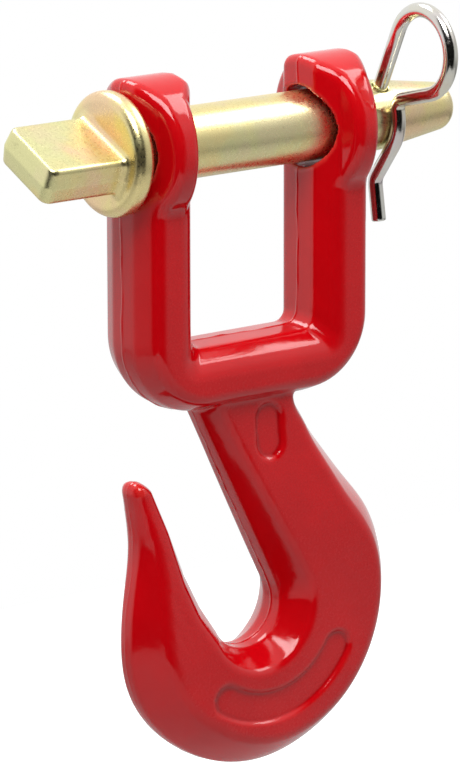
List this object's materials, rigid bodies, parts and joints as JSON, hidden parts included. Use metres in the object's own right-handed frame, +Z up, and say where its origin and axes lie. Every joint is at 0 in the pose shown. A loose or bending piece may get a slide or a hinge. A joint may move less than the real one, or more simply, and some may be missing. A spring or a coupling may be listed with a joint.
{
  "type": "drawbar hook",
  "caption": "Forged clevis with a slip hook below it, hung on a drawbar by a tabbed cross pin that an R-clip secures.",
  "frame": {"origin": "on the drawbar pin's axis, midway between the clevis's ears", "axes": "+X along the pin towards its R-clip, +Y away from the face with the recesses, +Z up, away from the hook"},
  "size_m": [0.1391, 0.0539, 0.2056],
  "materials": {
    "red_paint": "gloss",
    "yellow_zinc": "satin",
    "bright_zinc": "gloss"
  },
  "bodies": {
    "pin": {"drawbar_pin": "yellow_zinc"},
    "clevis": {"clevis_hook": "red_paint"},
    "clip": {"r_clip": "bright_zinc"}
  },
  "joints": [
    {"name": "clevis_swing", "type": "hinge", "parent": "pin", "child": "clevis", "pos_m": [0, 0, 0], "axis": [1, 0, 0], "continuous": true},
    {"name": "clip_pull", "type": "slide", "parent": "pin", "child": "clip", "axis": [0, -0.4226, 0.9063], "range_m": [0, 0.04], "deforming": ["r_clip"]}
  ]
}
